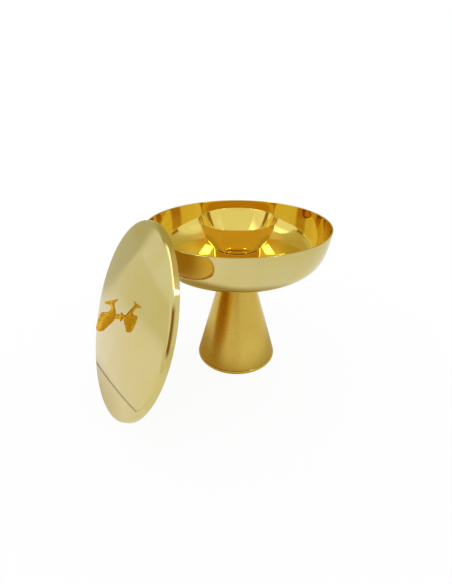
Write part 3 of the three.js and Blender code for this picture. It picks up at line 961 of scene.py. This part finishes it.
# How often a reflection is followed: near its rim the bowl's gilt wall mirrors itself up to nine times
MIRRORINGS = 10


def make_world():
    world = bpy.data.worlds.new("studio")
    world.use_nodes = True
    tree = world.node_tree
    tree.nodes.clear()
    add = partial(add_node, tree)
    direction = add("ShaderNodeTexCoord", give="Generated")
    backwards = add(VECTOR_MATH, (direction, TENT_BACK), operation="DOT_PRODUCT")
    share = add(MAP_RANGE, (backwards, -1.0))
    light = add("ShaderNodeValToRGB", (share,))
    stops = light.node.color_ramp.elements
    stops.remove(stops[1])
    for i, (place, colour) in enumerate(TENT_STOPS):
        stop = stops.new(place) if i > 0 else stops[0]
        stop.color = (*colour, 1.0)
    right, back, up = add("ShaderNodeSeparateXYZ", (direction,)).node.outputs
    azimuth = add(MATH, (right, back), operation="ARCTAN2")
    elevation = add(MATH, (up,), operation="ARCSINE")
    for middle, height, half_width, half_height, edge, brightness in TENT_PANELS:
        turn = add(MATH, (azimuth, math.radians(middle)), operation="SUBTRACT")
        turn = add(MATH, (turn, math.pi, -math.pi), operation="WRAP")
        rise = add(MATH, (elevation, math.radians(height)), operation="SUBTRACT")
        cover = 1.0
        for away, half in ((turn, half_width), (rise, half_height)):
            away = add(MATH, (away,), operation="ABSOLUTE")
            inside = add(MAP_RANGE, (away, math.radians(half + edge), math.radians(half)), **SMOOTH)
            cover = add(MATH, (cover, inside), operation="MULTIPLY")
        light = add(MIX, {"Factor": cover, "A": light, "B": (*brightness, 1.0)}, data_type="RGBA")
    mirrored = add("ShaderNodeLightPath", give="Is Glossy Ray")
    seen = add(MIX, {"Factor": mirrored, "A": WHITE, "B": light}, data_type="RGBA")
    surface = add("ShaderNodeBackground", (seen,))
    add("ShaderNodeOutputWorld", (surface,))
    bpy.context.scene.world = world
    bpy.context.scene.view_settings.view_transform = "Standard"
    bpy.context.scene.cycles.glossy_bounces = MIRRORINGS


# Half of the floor's width in metres, and how far it lies below the object in millimetres
FLOOR_HALF, FLOOR_DROP = 6, 0.3

# The share of the paper's white near the object that has no shadow, and where it grows to all in metres
FLOOR_GLOW, GLOW_FADE = 0.94, (0.12, 0.4)

# What the polished metal mirrors of the table, in metres: the bowl's shade on white paper, the paper
# round it, which turns warmer further off, a pool of light on the left, the tent's shade far behind, with
# its edge, how soft that is and where it ends on the right, the warm shade between the foot and the lid,
# and a painted shadow line along the seam between two sheets of paper left of the object, half as bright
# and faded out at 1.6 times its half width
PAPER_UNDER, PAPER_NEAR, PAPER_FAR = (0.58, 0.5, 0.3), (0.92, 0.91, 0.9), (0.84, 0.81, 0.65)
PAPER_LEFT, PAPER_SHADE, PAPER_WARM = (1.0, 0.97, 0.99), (0.63, 0.61, 0.46), (0.48, 0.35, 0.13)
UNDER_FADE, FAR_FADE = (0.05, 0.12), (0.2, 0.4)
LEFT_MIDDLE, LEFT_FADE = (-0.36, -0.2, 0.0), (0.16, 0.46)
SEAM_PLACE, SEAM_HALF, SEAM_FADE, SEAM_DARK = -0.153, 0.0014, 1.6, 0.5
SHADE_EDGE, SHADE_SOFT, SHADE_END = ((-0.4, 0.215), (-3.4, 2.25)), 0.04, (-0.2, -0.32)
WARM_MIDDLE, WARM_FADE = (-0.06, -0.02, 0.0), (0.045, 0.115)


def make_floor():
    paper, tree = new_material("white_paper")
    tree.nodes.clear()
    add = partial(add_node, tree)
    path = add("ShaderNodeLightPath").node.outputs
    place = add("ShaderNodeTexCoord", give="Object")
    distance = add(VECTOR_MATH, (place,), operation="LENGTH")
    from_left = add(VECTOR_MATH, (place, LEFT_MIDDLE), operation="DISTANCE")
    from_warm = add(VECTOR_MATH, (place, WARM_MIDDLE), operation="DISTANCE")
    start, end = (Vector(p) for p in SHADE_EDGE)
    behind = Vector((end.y - start.y, start.x - end.x, 0.0)).normalized()
    past = add(VECTOR_MATH, (place, behind), operation="DOT_PRODUCT")
    edge = start.dot(behind.xy)
    across = add("ShaderNodeSeparateXYZ", (place,), "X")
    far_left = add(MAP_RANGE, (across, *SHADE_END))
    shaded = add(MAP_RANGE, (past, edge - SHADE_SOFT, edge + SHADE_SOFT), **SMOOTH)
    shaded = add(MATH, (shaded, far_left), operation="MULTIPLY")
    seen = (*PAPER_UNDER, 1.0)
    for value, first, last, colour in (
        (distance, *UNDER_FADE, PAPER_NEAR),
        (distance, *FAR_FADE, PAPER_FAR),
        (from_left, *LEFT_FADE[::-1], PAPER_LEFT),
        (shaded, 0.0, 1.0, PAPER_SHADE),
        (from_warm, *WARM_FADE[::-1], PAPER_WARM),
    ):
        cover = add(MAP_RANGE, (value, first, last), **SMOOTH)
        seen = add(MIX, {"Factor": cover, "A": seen, "B": (*colour, 1.0)}, data_type="RGBA")
    # A painted shadow line along the seam between the two sheets, seen only in the metal's reflections
    from_seam = add(MATH, (across, SEAM_PLACE), operation="SUBTRACT")
    from_seam = add(MATH, (from_seam,), operation="ABSOLUTE")
    seam = add(MAP_RANGE, (from_seam, SEAM_HALF, SEAM_HALF * SEAM_FADE, SEAM_DARK))
    mirrored = add("ShaderNodeEmission", (seen, seam))
    sheet = add("ShaderNodeBsdfDiffuse", {"Color": (0.9, 0.9, 0.9, 1.0)})
    white = add("ShaderNodeEmission", (WHITE, 1.0))
    fade = add(MAP_RANGE, (distance, *GLOW_FADE, FLOOR_GLOW), **SMOOTH)
    share = add(MATH, (path["Is Camera Ray"], fade), operation="MULTIPLY")
    direct = add("ShaderNodeMixShader", (share, sheet, white))
    mixed = add("ShaderNodeMixShader", (path["Is Glossy Ray"], direct, mirrored))
    add("ShaderNodeOutputMaterial", (mixed,))
    half = FLOOR_HALF
    corners = [(-half, -half, 0), (half, -half, 0), (half, half, 0), (-half, half, 0)]
    floor = flat_sheet("floor", corners, paper)
    floor.location.z = -FLOOR_DROP * MM


# The screen left of the lid that only the metal mirrors, in metres: how far left it stands, its ends
# towards the camera and the wall, its foot and its top, the heights between which the cloth brightens
# towards the lamp, the brightness below and above them, and the width over which the cloth thins out at
# its edges
SCREEN_PLACE, SCREEN_ENDS, SCREEN_HEIGHTS = -0.3, (-0.22, 0.06), (0.1, 0.5)
SCREEN_LAMP, SCREEN_LIGHTS, SCREEN_EDGE = (0.26, 0.4), (0.95, 2.0), 0.04


def make_screen():
    front, rear = SCREEN_ENDS
    foot, top = SCREEN_HEIGHTS
    cloth, tree = new_material("lit_white_cloth")
    tree.nodes.clear()
    add = partial(add_node, tree)
    mirrored = add("ShaderNodeLightPath", give="Is Glossy Ray")
    place = add("ShaderNodeTexCoord", give="Object")
    _, along, up = add("ShaderNodeSeparateXYZ", (place,)).node.outputs
    glow = add(MAP_RANGE, (up, *SCREEN_LAMP, *SCREEN_LIGHTS), **SMOOTH)
    for value, border, inwards in ((along, front, 1), (along, rear, -1), (up, foot, 1)):
        cover = add(MAP_RANGE, (value, border, border + inwards * SCREEN_EDGE), **SMOOTH)
        mirrored = add(MATH, (mirrored, cover), operation="MULTIPLY")
    lit = add("ShaderNodeEmission", (WHITE, glow))
    clear = add("ShaderNodeBsdfTransparent")
    mixed = add("ShaderNodeMixShader", (mirrored, clear, lit))
    add("ShaderNodeOutputMaterial", (mixed,))
    corners = [(0, front, foot), (0, rear, foot), (0, rear, top), (0, front, top)]
    screen = flat_sheet("left_screen", corners, cloth)
    screen.location.x = SCREEN_PLACE


LID_PLACE = lid_frame()

# Spun brass with a thin pale gilding, polished to a mirror by hand: soft, slightly wavy reflections with
# faint rings from the spinning. The real rings are finer than 0.2 mm and are drawn wider so that they
# show. In the lid's crease, on the side towards the foot, an amber streak is a painted reflection that
# stands in for the foot and the bowl's underside mirrored there
POLISH = ((0.03, 0.07), (0.9, 0.0007, 0.03), (16, 0.012))
PALE = turned_metal("polished_pale_gilding", "#D2C37C", "#D4C687", *POLISH)
PALE_LID = turned_metal(
    "polished_pale_gilding_of_the_lid", "#D3C47C", "#D5C788", *POLISH,
    place=LID_PLACE, slope=-1.0, crease_reflection=(79.7, 0.8, 22.0, 14.0, "#875A10"),
)

# The same brass with a heavier yellow gilding: a deep mirror that turns amber where it mirrors itself
GILT = turned_metal(
    "polished_yellow_gilding", "#EDD570", "#EBD06A", (0.02, 0.06), (0.8, 0.0006, 0.03), (13, 0.018),
)
GILT_LID = turned_metal(
    "polished_yellow_gilding_in_the_lid", "#F2CA50", "#EFC44A", (0.02, 0.06), (0.8, 0.0006, 0.03),
    (14, 0.012), place=LID_PLACE, slope=-1.0,
)

# Brass left as it was spun and rubbed round with an abrasive: a satin sheen that draws reflections out
# up and down the cone, with fine rings. The scratches are about 0.1 mm apart, drawn at four times that
SATIN = turned_metal(
    "satin_spun_brass", "#D8BC5C", "#D5B455", (0.25, 0.29), (0.4, 0.001, 0.05), (20, 0.015), drawn=0.6,
)

# Brass faced on the lathe and never polished, where nobody looks: broader tool marks, a browner dull skin
BARE = ("#C9A85C", "#B68F48", (0.28, 0.42), (0.5, 0.006, 0.14), (5, 0.01))
TURNED = turned_metal("bare_turned_brass", *BARE, drawn=0.5)
TURNED_LID = turned_metal("bare_turned_brass_in_the_lid", *BARE, place=LID_PLACE)

# Steel with a bright zinc plating: grey, bluish and yellowish side by side, and with blunt highlights
ZINC = ("#BBBFC6", "#B1AE9C", (0.24, 0.42), (0.35, 0.003, 0.1), (2, 0.008))
STEEL = turned_metal("zinc_plated_steel", *ZINC)
STEEL_LID = turned_metal("zinc_plated_steel_in_the_lid", *ZINC, place=LID_PLACE)

# Cast brass, filed, brushed and gilded: mottled orange to yellow, dark in the grooves, with a fine grain
CAST = cast_metal("cast_gilding", "#DA9C1C", "#E2B02E", "#EDC858", (0.16, 0.3), (0.5, 0.01))

TURNING, TURNING_INPUTS = turning_tree()

make_camera()
make_world()
make_floor()
make_screen()
make_stand()
make_foot_fastening()
make_cup()
make_lid()
